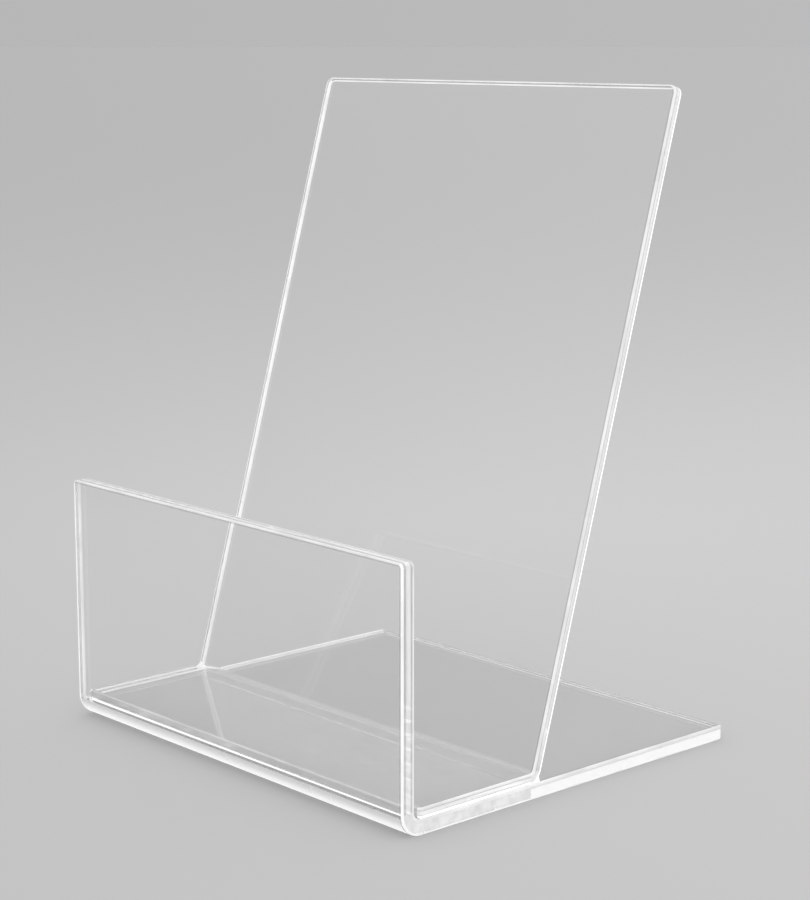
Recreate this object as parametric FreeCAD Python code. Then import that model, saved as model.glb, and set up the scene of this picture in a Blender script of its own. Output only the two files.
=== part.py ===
import FreeCAD, Part
import math
import os

# A clear acrylic book holder: two line-bent sheets and the cement that joins them.
# Sizes are in millimetres and degrees. The origin is on the floor under the middle
# of the holder, with +X to a reader's right, +Y to the rear and +Z up.

# The holder as a whole
WIDTH = 150.0
DEPTH = 130.0

# The thicker sheet, which is the front lip and the base
BASE_SHEET = 4.5
LIP_HEIGHT = 75.0
BASE_BEND_RADIUS = 2.5
LIP_CORNER_RADIUS = 1.5
BASE_CORNER_RADIUS = 0.8

# The thinner sheet, which is the shelf and the back rest
REST_SHEET = 3.0
BOOK_ROOM = 44.5
REST_LENGTH = 195.0
REST_LEAN = 16.0
REST_BEND_RADIUS = 1.2
REST_CORNER_RADIUS = 2.5
SHELF_CLEARANCE = 0.2

# Flame polishing leaves every cut edge slightly round
EDGE_ROUNDING = 0.4
SMOOTH_ANGLE = 10.0

# The set cement: a film under the shelf, and a wedge in the groove behind the foot
CEMENT_FILM = 0.15
CEMENT_INSET = 0.5
WEDGE_ANGLE = 55.0
WEDGE_TOE = 0.6
WEDGE_HOLLOW = 0.15

# Places that the sheets and the cement share
HALF_WIDTH = WIDTH / 2
FRONT = -DEPTH / 2
REAR = DEPTH / 2
BASE_BEND_OUTSIDE = BASE_BEND_RADIUS + BASE_SHEET
SHELF_BOTTOM = BASE_SHEET + CEMENT_FILM
SHELF_TOP = SHELF_BOTTOM + REST_SHEET
BASE_FLAT = FRONT + BASE_BEND_OUTSIDE
BEND_IN_FILM = math.sqrt(BASE_BEND_RADIUS ** 2 - (BASE_BEND_RADIUS - CEMENT_FILM) ** 2)
SHELF_FRONT = BASE_FLAT - BEND_IN_FILM + SHELF_CLEARANCE
REST_TURN = 90.0 - REST_LEAN
REST_BEND_OUTSIDE = REST_BEND_RADIUS + REST_SHEET
REST_BEND_SETBACK = REST_BEND_RADIUS * math.tan(math.radians(REST_TURN / 2))
FOOT = FRONT + BASE_SHEET + BOOK_ROOM


def point(y, z):
    """A point of a side outline, which is drawn on the middle plane."""
    return FreeCAD.Vector(0, y, z)


def turned(degrees, length=1.0):
    """A step of some length, at an angle from straight down towards the rear."""
    angle = math.radians(degrees)
    return point(length * math.sin(angle), -length * math.cos(angle))


def run(start, end):
    return Part.LineSegment(start, end).toShape()


def bend(centre, radius, start, end):
    """An arc about a centre, between two angles from straight down."""
    angles = (start, (start + end) / 2, end)
    return Part.Arc(*[centre + turned(angle, radius) for angle in angles]).toShape()


def drawn_out(outline, width):
    """The solid of a side outline that is drawn out evenly to both sides."""
    face = Part.Face(Part.Wire(outline))
    solid = face.extrude(FreeCAD.Vector(width, 0, 0))
    solid.translate(FreeCAD.Vector(-width / 2, 0, 0))
    return solid


def corner_edges(shape, first, second):
    """The edges through the sheet, one on each side, between two outline points."""
    middle = (first + second) / 2
    tolerance = Part.Precision.confusion()

    def is_there(edge):
        offset = edge.CenterOfMass - middle
        return abs(abs(offset.x) - HALF_WIDTH) < tolerance and math.hypot(offset.y, offset.z) < tolerance
    return [edge for edge in shape.Edges if is_there(edge)]


def is_sharp(shape, edge):
    """Whether the two faces at an edge meet at a corner, and not in a smooth run."""
    middle = edge.valueAt((edge.FirstParameter + edge.LastParameter) / 2)
    faces = shape.ancestorsOfType(edge, Part.Face)
    normals = [face.normalAt(*face.Surface.parameter(middle)) for face in faces]
    return math.degrees(normals[0].getAngle(normals[1])) > SMOOTH_ANGLE


def polished(shape):
    """The sheet with every cut edge slightly round."""
    return shape.makeFillet(EDGE_ROUNDING, [edge for edge in shape.Edges if is_sharp(shape, edge)])


def lip_and_base():
    """The thicker sheet: an upright lip, a right-angle bend and the base."""
    lip_front = point(FRONT, LIP_HEIGHT)
    lip_back = point(FRONT + BASE_SHEET, LIP_HEIGHT)
    base_below = point(REAR, 0)
    base_above = point(REAR, BASE_SHEET)
    centre = point(FRONT + BASE_BEND_OUTSIDE, BASE_BEND_OUTSIDE)
    front_tangent = centre + turned(-90, BASE_BEND_OUTSIDE)
    bottom_tangent = centre + turned(0, BASE_BEND_OUTSIDE)
    inner_front_tangent = centre + turned(-90, BASE_BEND_RADIUS)
    inner_bottom_tangent = centre + turned(0, BASE_BEND_RADIUS)
    sheet = drawn_out([
        run(lip_front, front_tangent),
        bend(centre, BASE_BEND_OUTSIDE, -90, 0),
        run(bottom_tangent, base_below),
        run(base_below, base_above),
        run(base_above, inner_bottom_tangent),
        bend(centre, BASE_BEND_RADIUS, 0, -90),
        run(inner_front_tangent, lip_back),
        run(lip_back, lip_front),
    ], WIDTH)
    sheet = sheet.makeFillet(LIP_CORNER_RADIUS, corner_edges(sheet, lip_front, lip_back))
    sheet = sheet.makeFillet(BASE_CORNER_RADIUS, corner_edges(sheet, base_below, base_above))
    return polished(sheet)


def rest_bend_centre():
    return point(FOOT - REST_BEND_SETBACK, SHELF_TOP + REST_BEND_RADIUS)


def shelf_and_rest():
    """The thinner sheet: the shelf, the bend at the foot and the leaning back rest."""
    centre = rest_bend_centre()
    up_the_rest = turned(90 + REST_TURN)
    shelf_below = point(SHELF_FRONT, SHELF_BOTTOM)
    shelf_above = point(SHELF_FRONT, SHELF_TOP)
    top_front = point(FOOT, SHELF_TOP) + up_the_rest * REST_LENGTH
    top_back = top_front + turned(REST_TURN, REST_SHEET)
    sheet = drawn_out([
        run(shelf_below, centre + turned(0, REST_BEND_OUTSIDE)),
        bend(centre, REST_BEND_OUTSIDE, 0, REST_TURN),
        run(centre + turned(REST_TURN, REST_BEND_OUTSIDE), top_back),
        run(top_back, top_front),
        run(top_front, centre + turned(REST_TURN, REST_BEND_RADIUS)),
        bend(centre, REST_BEND_RADIUS, REST_TURN, 0),
        run(centre + turned(0, REST_BEND_RADIUS), shelf_above),
        run(shelf_above, shelf_below),
    ], WIDTH)
    sheet = sheet.makeFillet(REST_CORNER_RADIUS, corner_edges(sheet, top_front, top_back))
    return polished(sheet)


def cement_joint():
    """The set cement: a thin film under the shelf that ends in a wedge behind the foot."""
    centre = rest_bend_centre()
    tangent = centre + turned(0, REST_BEND_OUTSIDE)
    wedge_top = centre + turned(WEDGE_ANGLE, REST_BEND_OUTSIDE)
    wedge_toe = point(wedge_top.y + WEDGE_TOE, BASE_SHEET)
    slope = wedge_toe - wedge_top
    inwards = point(slope.z, -slope.y).normalize()
    hollow = (wedge_top + wedge_toe) / 2 + inwards * WEDGE_HOLLOW
    return drawn_out([
        run(point(BASE_FLAT, BASE_SHEET), point(BASE_FLAT, SHELF_BOTTOM)),
        run(point(BASE_FLAT, SHELF_BOTTOM), tangent),
        bend(centre, REST_BEND_OUTSIDE, 0, WEDGE_ANGLE),
        Part.Arc(wedge_top, hollow, wedge_toe).toShape(),
        run(wedge_toe, point(BASE_FLAT, BASE_SHEET)),
    ], WIDTH - 2 * CEMENT_INSET)


os.makedirs("parts", exist_ok=True)
for make in (lip_and_base, shelf_and_rest, cement_joint):
    piece = make()
    print(make.__name__, "valid", piece.isValid(), "solids", len(piece.Solids), "mm3", round(piece.Volume, 1))
    piece.exportStep("parts/" + make.__name__ + ".step")
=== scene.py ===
import math
from collections import namedtuple

import bmesh
import bpy
from bpy.props import FloatProperty, FloatVectorProperty, PointerProperty
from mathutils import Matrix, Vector


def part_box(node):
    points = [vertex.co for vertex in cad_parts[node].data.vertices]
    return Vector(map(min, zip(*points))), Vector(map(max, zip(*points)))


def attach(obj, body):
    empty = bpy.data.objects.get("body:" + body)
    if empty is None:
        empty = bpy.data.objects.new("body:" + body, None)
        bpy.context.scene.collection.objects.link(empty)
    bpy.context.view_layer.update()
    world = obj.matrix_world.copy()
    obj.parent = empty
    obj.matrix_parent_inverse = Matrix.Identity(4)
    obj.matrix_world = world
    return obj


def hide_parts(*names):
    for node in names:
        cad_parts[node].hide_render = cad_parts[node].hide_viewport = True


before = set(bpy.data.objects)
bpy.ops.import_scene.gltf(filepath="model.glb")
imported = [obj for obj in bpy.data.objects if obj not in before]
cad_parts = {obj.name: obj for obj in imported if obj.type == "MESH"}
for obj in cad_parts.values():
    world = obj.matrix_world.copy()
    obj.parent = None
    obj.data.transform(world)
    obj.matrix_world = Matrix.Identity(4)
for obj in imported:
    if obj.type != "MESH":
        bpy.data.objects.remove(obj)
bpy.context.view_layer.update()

bl_info = {
    "name": "Clear Acrylic Book Holder",
    "version": (1, 0, 0),
    "blender": (4, 5, 0),
    "location": "View3D > Sidebar > Holder",
    "description": "Builds a book holder of two bent acrylic sheets and its cement, in a plain studio",
    "category": "Add Mesh",
}

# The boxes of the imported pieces, in metres, from which the places below are worked out
BASE_LOW, BASE_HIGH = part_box("lip_and_base")
REST_LOW, REST_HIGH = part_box("shelf_and_rest")
CEMENT_LOW, CEMENT_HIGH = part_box("cement_joint")

# The height of the picture in pixels, and the width of the camera's sensor in millimetres
PHOTO_HEIGHT = 900
SENSOR_WIDTH = 36.0

# The floor lies a hair under the holder and is round
FLOOR_GAP = 0.0001
FLOOR_SEGMENTS = 128

# How far out the floor has all of its painted side light
SIDE_REACH = 0.6

# How high up the dome and how near its direction the key light begin and reach their full strength
DOME_TILT = -0.25
DOME_START = 0.22
DOME_FULL = 0.62
KEY_EDGE = 0.72
KEY_FULL = 0.85

# How often light may bounce inside a sheet, and go straight on through faces
INNER_BOUNCES = 64
STRAIGHT_BOUNCES = 32

# How finely bends, corners and rounded edges are divided
BEND_STEPS = 40
CORNER_STEPS = 8
ROUNDING_STEPS = 6
WEDGE_STEPS = 12

# How fine the clouds in the colour and roughness are: the higher, the finer
BEND_GRAIN = 30.0
FACE_GRAIN = 35.0
EDGE_GRAIN = 60.0
CORE_GRAIN = 70.0
RIDGE_GRAIN = 90.0
RIM_GRAIN = 140.0
CEMENT_GRAIN = 200.0
CLOUDED_GRAIN = 260.0
PATCH_GRAIN = 450.0
SAW_GRAIN = 900.0

# How much small detail those clouds have, and which part of their range is used
SOFT_DETAIL = 2.5
FINE_DETAIL = 3.0
SAW_DETAIL = 4.0
BLOOM_SPREAD = (0.35, 0.6)
MARKS_SPREAD = (0.35, 0.75)
PATCH_SPREAD = (0.3, 0.7)
VEIL_SPREAD = (0.4, 0.8)
SAW_MARK_SPREAD = (0.3, 0.55)

# How much closer together the clouds lie along each axis: below 1 they are drawn out along it
PATCH_STRETCH = (1, 1, 0.7)
SAW_STRETCH = (1, 1, 3)

SAW_BUMP = 0.4
ACRYLIC_IOR = 1.49
CEMENT_GREY = (0.9, 0.9, 0.9, 1)
WHITE = (1, 1, 1, 1)


class HolderSizes(bpy.types.PropertyGroup):
    """The sizes of the two sheets and of the cement between them."""

    base_sheet: FloatProperty(
        name="Base sheet", description="Thickness of the sheet that makes the lip and the base",
        default=CEMENT_LOW.z, unit="LENGTH")
    base_bend: FloatProperty(
        name="Base bend", description="Inside radius of the bend between the lip and the base",
        default=0.0025, unit="LENGTH")
    lip_corner: FloatProperty(
        name="Lip corners", description="Radius of the two upper corners of the lip",
        default=0.0015, unit="LENGTH")
    base_corner: FloatProperty(
        name="Base corners", description="Radius of the two rear corners of the base",
        default=0.0012, unit="LENGTH")
    rest_sheet: FloatProperty(
        name="Rest sheet", description="Thickness of the sheet that makes the shelf and the back rest",
        default=0.003, unit="LENGTH")
    rest_bend: FloatProperty(
        name="Rest bend", description="Inside radius of the bend at the foot of the back rest",
        default=0.0012, unit="LENGTH")
    rest_lean: FloatProperty(
        name="Rest lean", description="How far the back rest leans back from upright",
        default=math.radians(16), subtype="ANGLE")
    rest_corner: FloatProperty(
        name="Rest corners", description="Radius of the two upper corners of the back rest",
        default=0.0025, unit="LENGTH")
    shelf_corner: FloatProperty(
        name="Shelf corners", description="Radius of the two front corners of the shelf",
        default=0.0012, unit="LENGTH")
    edge_rounding: FloatProperty(
        name="Edge rounding", description="How far in from a cut edge flame polishing has rounded it",
        default=0.0005, unit="LENGTH")
    edge_crown: FloatProperty(
        name="Edge crown", description="How far across the thickness each side of a cut edge is rounded",
        default=0.0005, unit="LENGTH")
    narrow_bloom: FloatProperty(
        name="Narrow bloom",
        description="How far the milky look of most ridges runs on over the flat of the edge",
        default=0.00015, unit="LENGTH")
    wide_bloom: FloatProperty(
        name="Wide bloom",
        description="The same on the upper side of the base sheet and behind the back rest",
        default=0.0003, unit="LENGTH")
    # The pale middle band of a cut edge is a painted highlight.
    core_share: FloatProperty(
        name="Core share",
        description="Share of a cut edge's thickness that its pale middle band takes up",
        default=0.35, min=0.05, max=0.6, subtype="FACTOR")
    # The rim is a strip of painted shade: a grey tint for the dark line beside each ridge.
    rim_width: FloatProperty(
        name="Rim width",
        description="Width of the line beside a ridge on the broad faces, where polishing ended",
        default=0.0005, unit="LENGTH")
    # The white band of the front bend is a painted glow: emitted light, brightest at the floor.
    bend_start: FloatProperty(
        name="Bend start", description="How far above the floor the white band of the front bend begins",
        default=0.0008, unit="LENGTH")
    bend_band: FloatProperty(
        name="Bend band",
        description="How far up the underside of the front bend light comes out of the sheet",
        default=0.006, unit="LENGTH")
    wedge_angle: FloatProperty(
        name="Wedge angle", description="How far up the foot's bend the wedge of cement climbs",
        default=math.radians(55), subtype="ANGLE")
    wedge_toe: FloatProperty(
        name="Wedge toe", description="How far behind its upper edge the wedge of cement meets the base",
        default=0.0006, unit="LENGTH")


class HolderFinish(bpy.types.PropertyGroup):
    """The colours and the surface of the acrylic and the cement, with their painted glows and painted shade.
    """

    clear_tint: FloatVectorProperty(
        name="Clear tint", description="Colour of light that has gone through a face of the sheet",
        default=(0.985, 0.988, 0.988), size=3, subtype="COLOR", min=0, max=1)
    face_shade: FloatProperty(
        name="Face shade", description="Share of lamp light that each broad face lets through",
        default=0.965, min=0, max=1, subtype="FACTOR")
    bend_shade: FloatProperty(
        name="Bend shade",
        description="Share of lamp light that goes straight on through each face of the front bend",
        default=0.72, min=0, max=1, subtype="FACTOR")
    edge_shade: FloatProperty(
        name="Edge shade", description="Share of lamp light that each cut edge lets through",
        default=0.72, min=0, max=1, subtype="FACTOR")
    edge_clear: FloatProperty(
        name="Edge clearness",
        description="Share of light that the flat of a cut edge bends instead of scattering",
        default=0.3, min=0, max=1, subtype="FACTOR")
    core_clear: FloatProperty(
        name="Core clearness",
        description="Share of light that the middle of a cut edge bends instead of scattering",
        default=0.4, min=0, max=1, subtype="FACTOR")
    ridge_clear: FloatProperty(
        name="Ridge clearness",
        description="Share of light that a rounded ridge bends instead of scattering",
        default=0.12, min=0, max=1, subtype="FACTOR")
    bend_clear: FloatProperty(
        name="Bend clearness",
        description="Share of light that the underside of the front bend lets through",
        default=0.1, min=0, max=1, subtype="FACTOR")
    bent_clear: FloatProperty(
        name="Bent edge clearness",
        description="Share of light that a cut edge bends where heat or cement clouded it",
        default=0.35, min=0, max=1, subtype="FACTOR")
    # The glows below are painted glow: emission from surfaces that are no lamp, standing in for light
    # carried inside the sheet and leaving it at the ridges, the tops, the front bend, the cement and the
    # sawn edges. The ridge glows differ by side, as lit and shaded copies of one ridge.
    ridge_glow: FloatProperty(
        name="Ridge glow", description="Light from inside the sheet that leaves it at a rounded ridge",
        default=0.55, min=0, max=1, subtype="FACTOR")
    bright_glow: FloatProperty(
        name="Brightest ridge glow", description="The same light at the ridges that look brightest",
        default=0.95, min=0, max=1, subtype="FACTOR")
    far_glow: FloatProperty(
        name="Far ridge glow",
        description="The same light at most ridges of the left side and the outer faces",
        default=0.68, min=0, max=1, subtype="FACTOR")
    faint_glow: FloatProperty(
        name="Faint ridge glow", description="The same light at the left ridge on the inside of the lip",
        default=0.55, min=0, max=1, subtype="FACTOR")
    end_glow: FloatProperty(
        name="End glow", description="The same light at the tops of the lip and the back rest",
        default=0.5, min=0, max=1, subtype="FACTOR")
    bend_glow: FloatProperty(
        name="Bend glow", description="The same light where it leaves the sheet under the front bend",
        default=0.62, min=0, max=1, subtype="FACTOR")
    cement_glow: FloatProperty(
        name="Cement glow", description="The same light where it comes out at the ends of the cement",
        default=0.3, min=0, max=1, subtype="FACTOR")
    sawn_glow: FloatProperty(
        name="Sawn glow", description="The same light where it comes out of the sawn edge",
        default=0.11, min=0, max=1, subtype="FACTOR")
    # The rim tones are painted shade.
    rim_tones: FloatVectorProperty(
        name="Rim tones",
        description="Darkest and palest grey of the line beside a ridge on the broad faces",
        default=(0.62, 0.72), size=2, min=0, max=1)
    edge_tones: FloatVectorProperty(
        name="Edge tones", description="Darkest and palest grey of the flat of a cut edge",
        default=(0.58, 0.65), size=2, min=0, max=1)
    # The core tones paint a highlight into the middle of each cut edge.
    core_tones: FloatVectorProperty(
        name="Core tones", description="Darkest and palest grey of the middle of a cut edge",
        default=(0.92, 0.98), size=2, min=0, max=1)
    # The far edge tones paint the left edges paler than the same edges on the right.
    far_tones: FloatVectorProperty(
        name="Far edge tones", description="Darkest and palest grey of the cut edges on the left",
        default=(0.68, 0.76), size=2, min=0, max=1)
    # The shelf front tones are painted shade.
    front_tones: FloatVectorProperty(
        name="Shelf front tones", description="Darkest and palest grey of the front edge of the shelf",
        default=(0.58, 0.66), size=2, min=0, max=1)
    ridge_tones: FloatVectorProperty(
        name="Ridge tones", description="Darkest and palest grey of a ridge, apart from its glow",
        default=(0.2, 0.32), size=2, min=0, max=1)
    # The bend tones shape the painted glow of the front bend, from the floor up.
    bend_tones: FloatVectorProperty(
        name="Bend tones",
        description="Tone of the white band of the front bend at the floor and at its upper border",
        default=(1.0, 0.42), size=2, min=0, max=1)
    bent_tones: FloatVectorProperty(
        name="Bent edge tones",
        description="Darkest and palest grey of a cut edge that heat or cement clouded",
        default=(0.8, 0.96), size=2, min=0, max=1)
    cement_tones: FloatVectorProperty(
        name="Cement tones", description="Darkest and palest grey of the ends of the cement",
        default=(0.85, 0.95), size=2, min=0, max=1)
    sawn_tones: FloatVectorProperty(
        name="Sawn tones",
        description="Tone of the sawn side edges near the floor and at their upper border",
        default=(0.98, 0.7), size=2, min=0, max=1)
    sawn_border: FloatVectorProperty(
        name="Sawn border", description="Shares of the thickness between which the sawn edges get darker",
        default=(0.68, 0.78), size=2, min=0, max=1)
    saw_marks: FloatProperty(
        name="Saw marks", description="How pale the deepest marks of the saw are beside the rest",
        default=0.9, min=0, max=1, subtype="FACTOR")
    saw_depth: FloatProperty(
        name="Saw depth", description="How deep the marks of the saw are",
        default=0.0002, unit="LENGTH")
    veil: FloatProperty(
        name="Veil", description="How milky the cement is at most where it joins two faces",
        default=0.02, min=0, max=1, subtype="FACTOR")
    face_rough: FloatVectorProperty(
        name="Face roughness",
        description="Least and greatest roughness that handling leaves on the broad faces",
        default=(0.004, 0.012), size=2, min=0, max=1)
    edge_rough: FloatVectorProperty(
        name="Edge roughness", description="Least and greatest roughness of the flat of a cut edge",
        default=(0.01, 0.03), size=2, min=0, max=1)
    core_rough: FloatVectorProperty(
        name="Core roughness", description="Least and greatest roughness of the middle of a cut edge",
        default=(0.03, 0.06), size=2, min=0, max=1)
    rim_rough: FloatVectorProperty(
        name="Rim roughness", description="Least and greatest roughness of the line beside a ridge",
        default=(0.01, 0.04), size=2, min=0, max=1)
    front_rough: FloatVectorProperty(
        name="Shelf front roughness",
        description="Least and greatest roughness of the front edge of the shelf",
        default=(0.02, 0.05), size=2, min=0, max=1)
    ridge_rough: FloatVectorProperty(
        name="Ridge roughness", description="Least and greatest roughness of a ridge",
        default=(0.12, 0.2), size=2, min=0, max=1)
    bend_rough: FloatVectorProperty(
        name="Bend roughness",
        description="Least and greatest roughness of the white band of the front bend",
        default=(0.2, 0.35), size=2, min=0, max=1)
    bent_rough: FloatVectorProperty(
        name="Bent edge roughness",
        description="Least and greatest roughness where heat or cement clouded an edge",
        default=(0.1, 0.3), size=2, min=0, max=1)
    cement_rough: FloatVectorProperty(
        name="Cement roughness", description="Least and greatest roughness of the set cement",
        default=(0.2, 0.4), size=2, min=0, max=1)
    sawn_rough: FloatVectorProperty(
        name="Sawn roughness", description="Least and greatest roughness of the sawn edges",
        default=(0.4, 0.6), size=2, min=0, max=1)


class HolderStudio(bpy.types.PropertyGroup):
    """The floor, the light all round and the camera."""

    # The floor tones below paint the studio's fall of light into the floor's colour: a pool palest at the
    # floor centre that fades to the far grey, plus painted side light.
    floor_near: FloatProperty(
        name="Floor near", description="Brightness of the floor where it is palest",
        default=0.63, min=0, max=1, subtype="FACTOR")
    floor_far: FloatProperty(
        name="Floor far", description="Brightness of the floor where it meets the backdrop",
        default=0.495, min=0, max=1, subtype="FACTOR")
    floor_fade: FloatProperty(
        name="Floor fade", description="Distance over which the floor goes from near grey to far grey",
        default=0.684, unit="LENGTH")
    floor_centre: FloatVectorProperty(
        name="Floor centre", description="Where the floor is palest",
        default=(-0.203, 0.208, 0.0), size=3, subtype="TRANSLATION", unit="LENGTH")
    floor_light: FloatProperty(
        name="Floor light", description="Brightness of a white floor in this light",
        default=1.092, min=0.1)
    side_light: FloatProperty(
        name="Side light", description="How much brighter the studio is to the right than straight on",
        default=0.0725, min=0)
    floor_radius: FloatProperty(
        name="Floor radius", description="How far the floor reaches",
        default=40.0, unit="LENGTH")
    backdrop: FloatProperty(
        name="Backdrop", description="Brightness of the backdrop low down",
        default=0.487, min=0, subtype="FACTOR")
    dome: FloatProperty(
        name="Dome", description="Brightness of the soft light overhead",
        default=1.07, min=0, subtype="FACTOR")
    key_way: FloatVectorProperty(
        name="Key way", description="Direction of the large soft window of light on the right",
        default=(0.80, -0.40, 0.45), size=3, subtype="DIRECTION")
    key_light: FloatProperty(
        name="Key light", description="How much brighter the soft window is than the dome",
        default=0.8, min=0)
    camera_place: FloatVectorProperty(
        name="Camera place", description="Where the camera stands",
        default=(0.4889, -0.4387, 0.2086), size=3, subtype="TRANSLATION", unit="LENGTH")
    camera_yaw: FloatProperty(
        name="Camera yaw", description="How far the camera is turned to the left of straight to the rear",
        default=math.radians(47.84), subtype="ANGLE")
    camera_pitch: FloatProperty(
        name="Camera pitch", description="How far the camera looks down",
        default=math.radians(10.54), subtype="ANGLE")
    camera_length: FloatProperty(
        name="Camera length",
        description="Focal length in pixels of the picture, which is 900 pixels high",
        default=2230.0, subtype="PIXEL")


def holder():
    return bpy.context.scene.holder_sizes


def finish():
    return bpy.context.scene.holder_finish


def studio():
    return bpy.context.scene.holder_studio


# A station is a place on a sheet's middle line with the heading there: 0 is to the rear
Station = namedtuple("Station", "place heading")


def ahead(heading):
    return Vector((0, math.cos(heading), math.sin(heading)))


def upper(heading):
    """The side of the sheet on which the book lies."""
    return Vector((0, -math.sin(heading), math.cos(heading)))


def run_on(line, length):
    """Goes straight on from the last station."""
    last = line[-1]
    line.append(Station(last.place + ahead(last.heading) * length, last.heading))


def bend_on(line, radius, turn):
    """Goes on round a bend towards the upper side."""
    last = line[-1]
    centre = last.place + upper(last.heading) * radius
    for step in range(1, BEND_STEPS + 1):
        heading = last.heading + turn * step / BEND_STEPS
        line.append(Station(centre - upper(heading) * radius, heading))


# A level is a line all round the cut edge, with the kind of strip that follows it
Level = namedtuple("Level", "inset height lean kind")


def half_edge(half, bloom):
    """The cut edge from the upper face to the middle of the sheet, as levels."""
    sizes = holder()
    rounding = sizes.edge_rounding
    crown = sizes.edge_crown
    levels = [Level(rounding + sizes.rim_width, half, math.pi / 2, "rim")]
    for step in range(ROUNDING_STEPS + 1):
        angle = math.pi / 2 * (1 - step / ROUNDING_STEPS)
        inset = rounding * (1 - math.cos(angle))
        height = half - crown * (1 - math.sin(angle))
        lean = math.atan2(rounding * math.sin(angle), crown * math.cos(angle))
        levels.append(Level(inset, height, lean, "ridge"))
    levels.append(Level(0.0, half - crown - bloom, 0.0, "edge"))
    levels.append(Level(0.0, sizes.core_share * half, 0.0, "core"))
    return levels


def cut_edge(half, blooms):
    """The cut edge from the upper face to the lower one, as levels."""
    levels = half_edge(half, blooms[0])
    lower = half_edge(half, blooms[1])[::-1]
    kinds = [level.kind for level in lower[1:]] + ["lower"]
    for level, kind in zip(lower, kinds):
        levels.append(Level(level.inset, -level.height, -level.lean, kind))
    return levels


def outline_of(line, half_width, first_corner, last_corner):
    """The right half of the flat pattern, from one end of the line to the other.

    Each point has its distance from the middle, its station, how far it reaches past the station, and
    the parts of its normal across the sheet and ahead.
    """
    points = []
    for step in range(CORNER_STEPS + 1):
        angle = math.pi / 2 * step / CORNER_STEPS
        across = half_width - first_corner * (1 - math.sin(angle))
        reach = first_corner * (1 - math.cos(angle))
        points.append((across, line[0], reach, math.sin(angle), -math.cos(angle)))
    for station in line[1:-1]:
        points.append((half_width, station, 0.0, 1.0, 0.0))
    for step in range(CORNER_STEPS + 1):
        angle = math.pi / 2 * step / CORNER_STEPS
        across = half_width - last_corner * (1 - math.cos(angle))
        reach = -last_corner * (1 - math.sin(angle))
        points.append((across, line[-1], reach, math.cos(angle), math.sin(angle)))
    return points


def bent_sheet(name, line, half_width, thickness, corners, blooms, slot_of):
    """A sheet that is cut flat, polished and then bent along a middle line."""
    half = thickness / 2
    right = outline_of(line, half_width, *corners)
    levels = cut_edge(half, blooms)
    bm = bmesh.new()
    normals = []

    def ring(level, side):
        made = []
        for across, station, reach, out_across, out_ahead in right:
            forward = ahead(station.heading)
            rise = upper(station.heading)
            place = station.place + forward * (reach - out_ahead * level.inset) + rise * level.height
            place.x = side * (across - out_across * level.inset)
            normal = forward * out_ahead * math.cos(level.lean) + rise * math.sin(level.lean)
            normal.x = side * out_across * math.cos(level.lean)
            made.append(bm.verts.new(place))
            normals.append(normal)
        return made

    def add(corners_of_face, kind):
        face = bm.faces.new(corners_of_face)
        face.material_index = slot_of(kind, face.calc_center_median())

    rings = [(ring(level, 1), ring(level, -1)) for level in levels]
    for level, upper_ring, lower_ring in zip(levels, rings, rings[1:]):
        above = upper_ring[0] + upper_ring[1][::-1]
        below = lower_ring[0] + lower_ring[1][::-1]
        for i in range(len(above)):
            j = (i + 1) % len(above)
            add((above[i], below[i], below[j], above[j]), level.kind)
    for (right_ring, left_ring), kind in ((rings[0], "upper"), (rings[-1], "lower")):
        for i in range(len(right_ring) - 1):
            face = [right_ring[i], right_ring[i + 1], left_ring[i + 1], left_ring[i]]
            add(face if kind == "upper" else face[::-1], kind)
    bm.normal_update()
    return mesh_piece(name, bm, normals)


def mesh_piece(name, bm, normals=None):
    """A new object from a bmesh, with its exact normals where they are known."""
    mesh = bpy.data.meshes.new(name)
    bm.to_mesh(mesh)
    bm.free()
    mesh.shade_smooth()
    if normals:
        mesh.normals_split_custom_set_from_vertices([normal.normalized() for normal in normals])
    piece = bpy.data.objects.new(name, mesh)
    bpy.context.scene.collection.objects.link(piece)
    return piece


def base_line():
    """The middle line of the thicker sheet, from the top of the lip down and back to the rear."""
    sizes = holder()
    half = sizes.base_sheet / 2
    outside = sizes.base_bend + sizes.base_sheet
    line = [Station(Vector((0, BASE_LOW.y + half, BASE_HIGH.z)), -math.pi / 2)]
    run_on(line, BASE_HIGH.z - BASE_LOW.z - outside)
    bend_on(line, sizes.base_bend + half, math.pi / 2)
    run_on(line, foot_middle().place.y - line[-1].place.y)
    run_on(line, BASE_HIGH.y - line[-1].place.y)
    return line


def shelf_top():
    return REST_LOW.z + holder().rest_sheet


def foot():
    """Where the front of the back rest would meet the top of the shelf if the bend were sharp."""
    sizes = holder()
    lean = sizes.rest_lean
    overshoot = sizes.edge_rounding * (math.cos(lean) + math.sin(lean) - 1)
    top = REST_HIGH.z + overshoot
    back = REST_HIGH.y + overshoot
    length = (top - shelf_top()) / math.cos(lean)
    front = back - sizes.rest_sheet * math.cos(lean) - length * math.sin(lean)
    return Vector((0, front, shelf_top())), length


def foot_middle():
    """The station of the shelf's middle line where the bend at the foot begins."""
    sizes = holder()
    turn = math.pi / 2 - sizes.rest_lean
    place = foot()[0]
    setback = sizes.rest_bend * math.tan(turn / 2)
    return Station(Vector((0, place.y - setback, shelf_top() - sizes.rest_sheet / 2)), 0.0)


def rest_line():
    """The middle line of the thinner sheet, from the shelf's front edge to the top of the rest."""
    sizes = holder()
    turn = math.pi / 2 - sizes.rest_lean
    foot_start = foot_middle().place
    setback = sizes.rest_bend * math.tan(turn / 2)
    line = [Station(Vector((0, REST_LOW.y, foot_start.z)), 0.0)]
    run_on(line, foot_start.y - REST_LOW.y)
    bend_on(line, sizes.rest_bend + sizes.rest_sheet / 2, turn)
    run_on(line, foot()[1] - setback)
    return line


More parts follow.
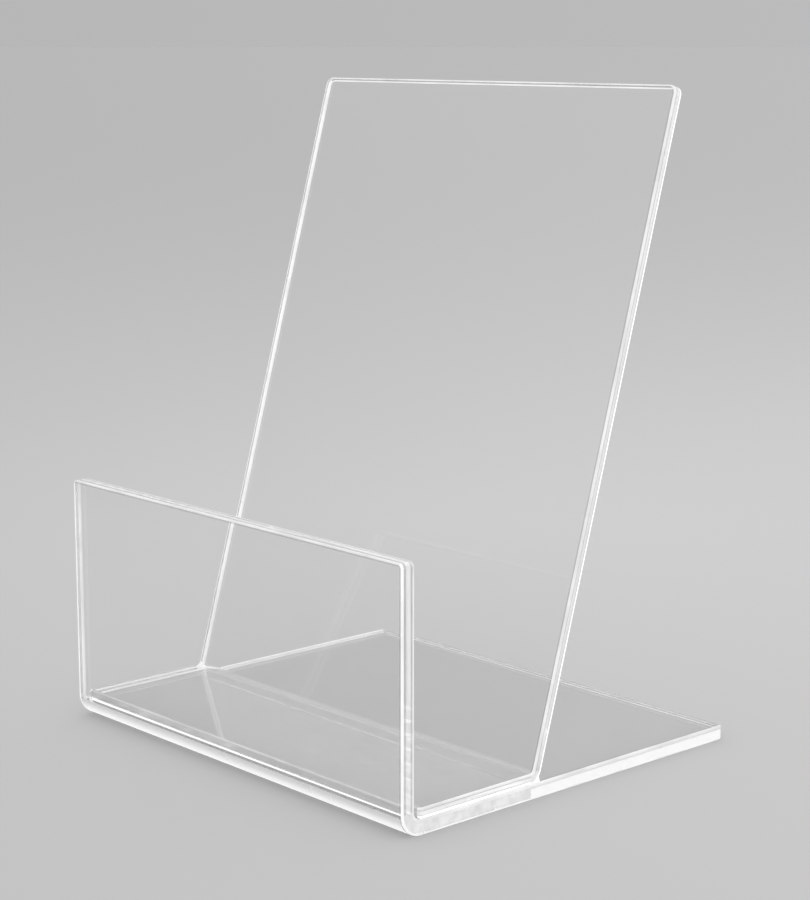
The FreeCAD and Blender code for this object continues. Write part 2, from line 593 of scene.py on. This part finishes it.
class Wiring:
    """Adds nodes to a shader tree and joins them."""

    def __init__(self, tree):
        self.tree = tree

    def add(self, kind, sockets=None, **settings):
        made = self.tree.nodes.new("ShaderNode" + kind)
        for key, value in settings.items():
            setattr(made, key, value)
        for key, value in (sockets or {}).items():
            if isinstance(value, bpy.types.NodeSocket):
                self.tree.links.new(value, made.inputs[key])
            else:
                made.inputs[key].default_value = value
        return made

    def math(self, operation, *values):
        return self.add("Math", dict(enumerate(values)), operation=operation).outputs[0]

    def vector_math(self, operation, *values):
        """The number that an operation on vectors gives."""
        return self.add("VectorMath", dict(enumerate(values)), operation=operation).outputs["Value"]

    def between(self, value, low, high, low_out=0.0, high_out=1.0):
        """A smooth step from one value to another."""
        ends = {"From Min": low, "From Max": high, "To Min": low_out, "To Max": high_out}
        return self.add("MapRange", {"Value": value, **ends}, interpolation_type="SMOOTHSTEP").outputs[0]

    def place(self):
        return self.add("TexCoord").outputs["Object"]

    def height(self):
        return self.add("SeparateXYZ", {0: self.place()}).outputs["Z"]

    def noise(self, grain, detail, stretch=(1, 1, 1)):
        """Clouds that stay with the piece."""
        place = self.add("Mapping", {"Vector": self.place(), "Scale": stretch}).outputs[0]
        return self.add("TexNoise", {"Vector": place, "Scale": grain, "Detail": detail}).outputs["Fac"]


def new_material(name):
    material = bpy.data.materials.new(name)
    material.use_nodes = True
    material.node_tree.nodes.clear()
    return material, Wiring(material.node_tree)


def clouded_group(name, ends, result_name, result_kind, spread):
    """A node group that goes unevenly from one given value to another, in clouds of a given scale."""
    tree = bpy.data.node_groups.get(name)
    if tree:
        return tree
    tree = bpy.data.node_groups.new(name, "ShaderNodeTree")
    for socket in (*ends, "Scale"):
        tree.interface.new_socket(socket, in_out="INPUT", socket_type="NodeSocketFloat")
    tree.interface.new_socket(result_name, in_out="OUTPUT", socket_type=result_kind)
    wiring = Wiring(tree)
    given = tree.nodes.new("NodeGroupInput").outputs
    cloud = wiring.noise(given["Scale"], SOFT_DETAIL)
    result = tree.nodes.new("NodeGroupOutput")
    value = wiring.between(cloud, *spread, given[ends[0]], given[ends[1]])
    tree.links.new(value, result.inputs[result_name])
    return tree


def polish_bloom():
    """The uneven milky colour of a flame-polished edge."""
    ends = ("Darkest", "Palest")
    return clouded_group("polish_bloom", ends, "Color", "NodeSocketColor", BLOOM_SPREAD)


def handling_marks():
    """The uneven roughness that wiping and handling leave on polished acrylic."""
    ends = ("Cleanest", "Dullest")
    return clouded_group("handling_marks", ends, "Roughness", "NodeSocketFloat", MARKS_SPREAD)


def group_in(wiring, tree, **values):
    node = wiring.add("Group", node_tree=tree)
    for name, value in values.items():
        node.inputs[name].default_value = value
    return node.outputs[0]


def bloomed(tones, grain):
    """A colour for acrylic() that goes unevenly between two greys."""
    def color(wiring):
        return group_in(wiring, polish_bloom(), Darkest=tones[0], Palest=tones[1], Scale=grain)
    return color


def acrylic(name, color, rough, rough_grain, clearness, shade, glow=0.0, shine=None):
    """Acrylic that bends and mirrors light, and lets lamp light on to what is behind it."""
    material, wiring = new_material(name)
    roughness = group_in(wiring, handling_marks(), Cleanest=rough[0], Dullest=rough[1], Scale=rough_grain)
    # A glow given here is painted light: emission from a surface that is no lamp.
    solid = wiring.add("BsdfPrincipled", {
        "Base Color": color(wiring), "Roughness": roughness, "IOR": ACRYLIC_IOR,
        "Transmission Weight": clearness, "Emission Strength": glow,
        "Emission Color": shine(wiring) if shine else WHITE})
    return with_shade(material, wiring, solid, shade)


def with_shade(material, wiring, solid, shade):
    """The material with a surface that lets a share of the lamp light straight on."""
    passed = wiring.add("BsdfTransparent", {"Color": (shade, shade, shade, 1)})
    path = wiring.add("LightPath")
    straight = wiring.math("MAXIMUM", path.outputs["Is Shadow Ray"], path.outputs["Is Diffuse Ray"])
    mixed = wiring.add("MixShader", {0: straight, 1: solid.outputs[0], 2: passed.outputs[0]})
    wiring.add("OutputMaterial", {"Surface": mixed.outputs[0]})
    return material


def clear_sheet(name, shade):
    look = finish()

    def color(wiring):
        return (*look.clear_tint, 1)
    return acrylic(name, color, look.face_rough, FACE_GRAIN, 1.0, shade)


def clear_face(name):
    """The broad faces of both sheets."""
    return clear_sheet(name, finish().face_shade)


def clear_bend(name):
    """The faces of the front bend, which throw lamp light aside and so leave a shadow on the floor."""
    return clear_sheet(name, finish().bend_shade)


def face_rim(name):
    """The line beside a ridge, tinted grey: painted shade for the dark line that runs beside each bright
    ridge.
    """
    look = finish()
    color = bloomed(look.rim_tones, RIDGE_GRAIN)
    return acrylic(name, color, look.rim_rough, RIM_GRAIN, 1.0, look.face_shade)


def polished_edge(name):
    """The flat of a cut edge, which stays a little satin."""
    look = finish()
    color = bloomed(look.edge_tones, EDGE_GRAIN)
    return acrylic(name, color, look.edge_rough, EDGE_GRAIN, look.edge_clear, look.edge_shade)


def edge_core(name):
    """The middle of a cut edge, painted paler: a painted highlight where the real edge shows light reflected
    inside the sheet.
    """
    look = finish()
    color = bloomed(look.core_tones, CORE_GRAIN)
    return acrylic(name, color, look.core_rough, CORE_GRAIN, look.core_clear, look.edge_shade)


def far_edge(name):
    """The cut edges on the left, a paler copy of the flat of a cut edge: painted light for how those edges
    look, evenly grey, seen through the sheet.
    """
    look = finish()
    color = bloomed(look.far_tones, EDGE_GRAIN)
    return acrylic(name, color, look.edge_rough, EDGE_GRAIN, look.edge_clear, look.edge_shade)


def shelf_front(name):
    """The front edge of the shelf, grey and half clear: painted shade for the darker band that this edge
    shows through the lip.
    """
    look = finish()
    color = bloomed(look.front_tones, EDGE_GRAIN)
    return acrylic(name, color, look.front_rough, EDGE_GRAIN, look.bent_clear, look.edge_shade)


def ridge(name, glow):
    """The round ridge between a face and a cut edge, nearly white from a painted glow: emission that stands
    in for light gathered inside the sheet.
    """
    look = finish()
    color = bloomed(look.ridge_tones, RIDGE_GRAIN)
    return acrylic(name, color, look.ridge_rough, RIDGE_GRAIN, look.ridge_clear, look.edge_shade, glow)


# Copies of the ridge that differ only in the strength of their painted glow.
def polished_ridge(name):
    return ridge(name, finish().ridge_glow)


def bright_ridge(name):
    return ridge(name, finish().bright_glow)


def far_ridge(name):
    return ridge(name, finish().far_glow)


def faint_ridge(name):
    return ridge(name, finish().faint_glow)


def end_ridge(name):
    return ridge(name, finish().end_glow)


def bend_face(name):
    """The outside of the front bend, with a painted glow: emission in a soft white band, brightest at the
    floor, that stands in for light leaving the sheet there.
    """
    look = finish()

    def color(wiring):
        return wiring.between(wiring.height(), 0.0, holder().bend_band, *look.bend_tones)
    return acrylic(name, color, look.bend_rough, BEND_GRAIN, look.bend_clear, look.bend_shade,
                   look.bend_glow, shine=color)


def bent_edge(name):
    """A cut edge that heat or cement has clouded in patches: at both bends and beside the shelf."""
    look = finish()

    def color(wiring):
        patch = wiring.noise(PATCH_GRAIN, FINE_DETAIL, PATCH_STRETCH)
        return wiring.between(patch, *PATCH_SPREAD, *look.bent_tones)
    return acrylic(name, color, look.bent_rough, CLOUDED_GRAIN, look.bent_clear, look.edge_shade)


def cemented_face(name):
    """Two faces that the cement joins, so that light goes through as if there were no face."""
    look = finish()
    material, wiring = new_material(name)
    veil = wiring.between(wiring.noise(EDGE_GRAIN, FINE_DETAIL), *VEIL_SPREAD, 0.0, look.veil)
    sockets = {"Base Color": CEMENT_GREY, "Roughness": look.cement_rough[1], "Alpha": veil}
    solid = wiring.add("BsdfPrincipled", sockets)
    wiring.add("OutputMaterial", {"Surface": solid.outputs[0]})
    return material


def cement_end(name):
    """The ends of the cement, where it welled out of the joint and set white, with a painted glow: emission
    that makes them brighter.
    """
    look = finish()
    color = bloomed(look.cement_tones, CEMENT_GRAIN)
    return acrylic(name, color, look.cement_rough, CEMENT_GRAIN, 0.0, look.edge_shade, look.cement_glow)


def sawn_edge(name):
    """The rear side edges, which are left as they came off the saw: white, with fine marks, darker towards
    their upper border, and a faint painted glow.
    """
    look = finish()
    material, wiring = new_material(name)
    low, high = (share * holder().base_sheet for share in look.sawn_border)
    tone = wiring.between(wiring.height(), low, high, *look.sawn_tones)
    speck = wiring.noise(SAW_GRAIN, SAW_DETAIL, SAW_STRETCH)
    mark = wiring.between(speck, *SAW_MARK_SPREAD, look.saw_marks, 1.0)
    shown = wiring.math("MULTIPLY", tone, mark)
    bump = wiring.add("Bump", {"Strength": SAW_BUMP, "Distance": look.saw_depth, "Height": speck}).outputs[0]
    rough = wiring.between(speck, *PATCH_SPREAD, *look.sawn_rough)
    # The emission is a painted glow in the edge's own colour.
    solid = wiring.add("BsdfPrincipled", {
        "Base Color": shown, "Roughness": rough, "Normal": bump, "Emission Color": shown,
        "Emission Strength": look.sawn_glow})
    return with_shade(material, wiring, solid, look.edge_shade)


MATERIALS = (
    clear_face, clear_bend, face_rim, polished_edge, edge_core, far_edge, shelf_front, polished_ridge,
    bright_ridge, far_ridge, faint_ridge, end_ridge, bend_face, bent_edge, cemented_face, cement_end,
    sawn_edge,
)
SLOTS = {make.__name__: place for place, make in enumerate(MATERIALS)}
FACE_SLOTS = {
    "upper": SLOTS["clear_face"],
    "lower": SLOTS["clear_face"],
    "edge": SLOTS["polished_edge"],
    "core": SLOTS["edge_core"],
}


def strip_slot(kind, centre, half_width, left, right, end):
    """The slot of a strip beside a broad face or on a cut edge, by the side of the sheet.

    The strips of the left, the right and the ends are each given as a ridge and a rim, which carry painted
    glow and painted shade; the flat of the left edges takes the paler far_edge, painted as those edges look
    through the sheet.
    """
    inside = half_width - 2 * holder().edge_rounding
    if kind in ("ridge", "rim"):
        strips = end if abs(centre.x) < inside else left if centre.x < 0 else right
        return SLOTS[strips[kind == "rim"]]
    if kind in ("edge", "core") and centre.x < -inside:
        return SLOTS["far_edge"]
    return FACE_SLOTS[kind]


def give_materials(piece, makers):
    for make in makers:
        piece.data.materials.append(bpy.data.materials.get(make.__name__) or make(make.__name__))


def build_base():
    """The thicker sheet, with clouded side edges up to the foot and sawn ones behind it."""
    sizes = holder()
    joint_front = CEMENT_LOW.y
    joint_rear = foot_middle().place.y
    bend_top = sizes.base_bend + sizes.base_sheet
    side = BASE_HIGH.x - sizes.edge_rounding

    def slot_of(kind, centre):
        on_base = centre.z < bend_top
        behind = centre.y > joint_rear
        if kind == "upper" and on_base and joint_front < centre.y < joint_rear:
            return SLOTS["cemented_face"]
        if kind in ("edge", "core") and on_base and abs(centre.x) > side:
            return SLOTS["sawn_edge"] if behind else SLOTS["bent_edge"]
        # The band low on the outside of the front bend takes the painted glow of bend_face.
        if kind in ("upper", "lower") and on_base and centre.y < joint_front:
            in_band = kind == "lower" and sizes.bend_start < centre.z < sizes.bend_band
            return SLOTS["bend_face"] if in_band else SLOTS["clear_bend"]
        # Ridges on each side and end take a copy with a painted glow of its own strength, by where they lie:
        # underneath, left, right, behind the foot or at the top.
        below = centre.z < sizes.base_sheet / 2 or centre.y < BASE_LOW.y + sizes.base_sheet / 2
        left = "far_ridge" if below else "bright_ridge" if behind else "faint_ridge"
        right = "far_ridge" if below else "polished_ridge"
        end = ("end_ridge", "face_rim")
        if behind:
            end = ("face_rim", "far_ridge") if below else ("far_ridge", "face_rim")
        return strip_slot(kind, centre, BASE_HIGH.x, (left, left), (right, "face_rim"), end)
    corners = (sizes.lip_corner, sizes.base_corner)
    blooms = (sizes.wide_bloom, sizes.narrow_bloom)
    line = base_line()
    piece = bent_sheet("lip_and_base_sheet", line, BASE_HIGH.x, sizes.base_sheet, corners, blooms, slot_of)
    give_materials(piece, MATERIALS)
    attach(piece, "root")
    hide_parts("lip_and_base")


def build_rest():
    """The thinner sheet, with a front edge painted grey as shade and clouded edges round the foot."""
    sizes = holder()
    bend_top = shelf_top() + sizes.rest_bend
    front_end = REST_LOW.y + 2 * sizes.rest_sheet
    front_side = REST_HIGH.x - sizes.shelf_corner
    foot_start = foot_middle().place.y
    line = rest_line()
    top = line[-1].place
    top_upper = upper(line[-1].heading)

    def slot_of(kind, centre):
        on_shelf = centre.z < bend_top and centre.y < foot_start
        if kind == "lower" and centre.y < foot_start:
            return SLOTS["cemented_face"]
        if kind in ("edge", "core") and centre.z < bend_top and centre.y > foot_start:
            return SLOTS["cement_end"] if centre.x < 0 else SLOTS["bent_edge"]
        if kind not in ("upper", "lower") and centre.y < front_end and abs(centre.x) < front_side:
            return SLOTS["shelf_front"]
        # Here too each side and end takes a ridge copy with a painted glow of its own strength.
        below = (centre - top).dot(top_upper) < 0
        if on_shelf:
            below = centre.z < REST_LOW.z + sizes.rest_sheet / 2
        left = ("far_ridge", "far_ridge") if below else ("bright_ridge", "face_rim")
        right = ("bright_ridge" if below else "polished_ridge", "face_rim")
        end = ("face_rim", "far_ridge") if below else ("end_ridge", "face_rim")
        return strip_slot(kind, centre, REST_HIGH.x, left, right, end)
    corners = (sizes.shelf_corner, sizes.rest_corner)
    blooms = (sizes.narrow_bloom, sizes.wide_bloom)
    piece = bent_sheet("shelf_and_rest_sheet", line, REST_HIGH.x, sizes.rest_sheet, corners, blooms, slot_of)
    give_materials(piece, MATERIALS)
    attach(piece, "root")
    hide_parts("shelf_and_rest")


def cement_outline():
    """The side outline of the film under the shelf and of the wedge behind the foot."""
    sizes = holder()
    start = foot_middle().place
    radius = sizes.rest_bend + sizes.rest_sheet
    centre = Vector((0, start.y, shelf_top() + sizes.rest_bend))
    outline = [Vector((0, CEMENT_LOW.y, CEMENT_LOW.z)), Vector((0, CEMENT_LOW.y, REST_LOW.z))]
    for step in range(WEDGE_STEPS + 1):
        angle = sizes.wedge_angle * step / WEDGE_STEPS
        outline.append(centre + Vector((0, math.sin(angle), -math.cos(angle))) * radius)
    outline.append(Vector((0, outline[-1].y + sizes.wedge_toe, CEMENT_LOW.z)))
    return outline


def build_cement():
    """The set cement, with white ends and a white front that carry a painted glow."""
    bm = bmesh.new()
    rings = []
    for x in (CEMENT_LOW.x, CEMENT_HIGH.x):
        rings.append([bm.verts.new((x, point.y, point.z)) for point in cement_outline()])
    count = len(rings[0])
    for i in range(count):
        j = (i + 1) % count
        bm.faces.new((rings[0][i], rings[0][j], rings[1][j], rings[1][i]))
    bm.faces.new(rings[0][::-1])
    bm.faces.new(rings[1])
    bmesh.ops.recalc_face_normals(bm, faces=bm.faces)
    piece = mesh_piece("set_cement_joint", bm)
    give_materials(piece, (cemented_face, cement_end))
    front_end = CEMENT_LOW.y + holder().narrow_bloom
    for polygon in piece.data.polygons:
        polygon.use_smooth = False
        at_end = abs(polygon.center.x) > CEMENT_HIGH.x / 2
        polygon.material_index = int(at_end or polygon.center.y < front_end)
    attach(piece, "root")
    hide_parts("cement_joint")


def sideways_share(wiring, way):
    """How much brighter the studio is towards the camera's right than straight on."""
    yaw = studio().camera_yaw
    right = (math.cos(yaw), math.sin(yaw), 0.0)
    return wiring.math("MULTIPLY", wiring.vector_math("DOT_PRODUCT", way, right), studio().side_light)


def floor_material():
    """A plain matt floor whose colour holds a painted pool of light, palest just behind the holder, and
    painted side light towards the camera's right.
    """
    look = studio()
    material, wiring = new_material("pale_floor")
    place = wiring.place()
    distance = wiring.vector_math("DISTANCE", place, look.floor_centre)
    nearness = wiring.math("POWER", 1 / math.e, wiring.math("DIVIDE", distance, look.floor_fade))
    tones = {"To Min": look.floor_far, "To Max": look.floor_near}
    tone = wiring.add("MapRange", {"Value": nearness, **tones}).outputs[0]
    way = wiring.add("VectorMath", {0: place}, operation="NORMALIZE").outputs[0]
    # The studio's side light is painted into the floor colour as well.
    sideways = sideways_share(wiring, way)
    reach = wiring.vector_math("LENGTH", place)
    grown = wiring.add("MapRange", {"Value": reach, "From Max": SIDE_REACH}).outputs[0]
    tone = wiring.math("ADD", tone, wiring.math("MULTIPLY", sideways, grown))
    shown = wiring.math("DIVIDE", tone, look.floor_light)
    solid = wiring.add("BsdfDiffuse", {"Color": shown})
    wiring.add("OutputMaterial", {"Surface": solid.outputs[0]})
    return material


def build_floor():
    look = studio()
    bm = bmesh.new()
    bmesh.ops.create_circle(bm, cap_ends=True, segments=FLOOR_SEGMENTS, radius=look.floor_radius)
    floor = mesh_piece("studio_floor", bm)
    floor.location.z = -FLOOR_GAP
    floor.data.materials.append(floor_material())


def build_light():
    """The light all round: a grey backdrop low down and a soft pale dome overhead and in front."""
    look = studio()
    world = bpy.data.worlds.new("studio_light")
    world.use_nodes = True
    world.node_tree.nodes.clear()
    bpy.context.scene.world = world
    wiring = Wiring(world.node_tree)
    way = wiring.add("TexCoord").outputs["Generated"]
    toward = wiring.add("SeparateXYZ", {0: way})
    lift = wiring.math("MULTIPLY", toward.outputs["Y"], DOME_TILT)
    height = wiring.math("ADD", toward.outputs["Z"], lift)
    strength = wiring.between(height, DOME_START, DOME_FULL, look.backdrop, look.dome)
    strength = wiring.math("ADD", strength, sideways_share(wiring, way))
    near_key = wiring.vector_math("DOT_PRODUCT", way, look.key_way)
    key = wiring.between(near_key, KEY_EDGE, KEY_FULL, 0.0, look.key_light)
    strength = wiring.math("ADD", strength, key)
    background = wiring.add("Background", {"Color": WHITE, "Strength": strength})
    wiring.add("OutputWorld", {"Surface": background.outputs[0]})


def build_camera():
    look = studio()
    lens = bpy.data.cameras.new("photo_camera")
    lens.sensor_width = SENSOR_WIDTH
    lens.lens = look.camera_length / PHOTO_HEIGHT * SENSOR_WIDTH
    lens.clip_end = 2 * look.floor_radius
    camera = bpy.data.objects.new("photo_camera", lens)
    camera.location = look.camera_place
    camera.rotation_euler = (math.pi / 2 - look.camera_pitch, 0, look.camera_yaw)
    bpy.context.scene.collection.objects.link(camera)
    bpy.context.scene.camera = camera


def light_paths():
    """Lets light go on through the many bounces along a clear sheet."""
    cycles = bpy.context.scene.cycles
    cycles.max_bounces = INNER_BOUNCES
    cycles.glossy_bounces = INNER_BOUNCES
    cycles.transmission_bounces = INNER_BOUNCES
    cycles.transparent_max_bounces = STRAIGHT_BOUNCES


class HOLDER_OT_lip_and_base(bpy.types.Operator):
    """Build the thicker sheet: the lip and the base"""

    bl_idname = "holder.lip_and_base"
    bl_label = "Lip and base"

    def execute(self, context):
        build_base()
        return {"FINISHED"}


class HOLDER_OT_shelf_and_rest(bpy.types.Operator):
    """Build the thinner sheet: the shelf and the back rest"""

    bl_idname = "holder.shelf_and_rest"
    bl_label = "Shelf and back rest"

    def execute(self, context):
        build_rest()
        return {"FINISHED"}


class HOLDER_OT_cement(bpy.types.Operator):
    """Build the set cement between the sheets"""

    bl_idname = "holder.cement"
    bl_label = "Cement joint"

    def execute(self, context):
        build_cement()
        return {"FINISHED"}


class HOLDER_OT_studio(bpy.types.Operator):
    """Set up the floor, the light and the camera"""

    bl_idname = "holder.studio"
    bl_label = "Studio"

    def execute(self, context):
        build_floor()
        build_light()
        build_camera()
        light_paths()
        context.scene.view_settings.view_transform = "Standard"
        return {"FINISHED"}


class HOLDER_PT_sidebar(bpy.types.Panel):
    """The holder's sizes, finishes and build steps"""

    bl_idname = "HOLDER_PT_sidebar"
    bl_label = "Book holder"
    bl_space_type = "VIEW_3D"
    bl_region_type = "UI"
    bl_category = "Holder"

    def draw(self, context):
        for group in (holder(), finish(), studio()):
            column = self.layout.column()
            for name in group.bl_rna.properties.keys():
                if name not in ("rna_type", "name"):
                    column.prop(group, name)
        for step in BUILD_STEPS:
            self.layout.operator("holder." + step)


GROUPS = {"holder_sizes": HolderSizes, "holder_finish": HolderFinish, "holder_studio": HolderStudio}
OPERATORS = (HOLDER_OT_lip_and_base, HOLDER_OT_shelf_and_rest, HOLDER_OT_cement, HOLDER_OT_studio)
BUILD_STEPS = ("lip_and_base", "shelf_and_rest", "cement", "studio")


def register():
    for kind in (*GROUPS.values(), *OPERATORS, HOLDER_PT_sidebar):
        bpy.utils.register_class(kind)
    for name, kind in GROUPS.items():
        setattr(bpy.types.Scene, name, PointerProperty(type=kind))


def unregister():
    for name in GROUPS:
        delattr(bpy.types.Scene, name)
    for kind in reversed((*GROUPS.values(), *OPERATORS, HOLDER_PT_sidebar)):
        bpy.utils.unregister_class(kind)


def main():
    register()
    for step in BUILD_STEPS:
        getattr(bpy.ops.holder, step)()


if __name__ == "__main__":
    main()
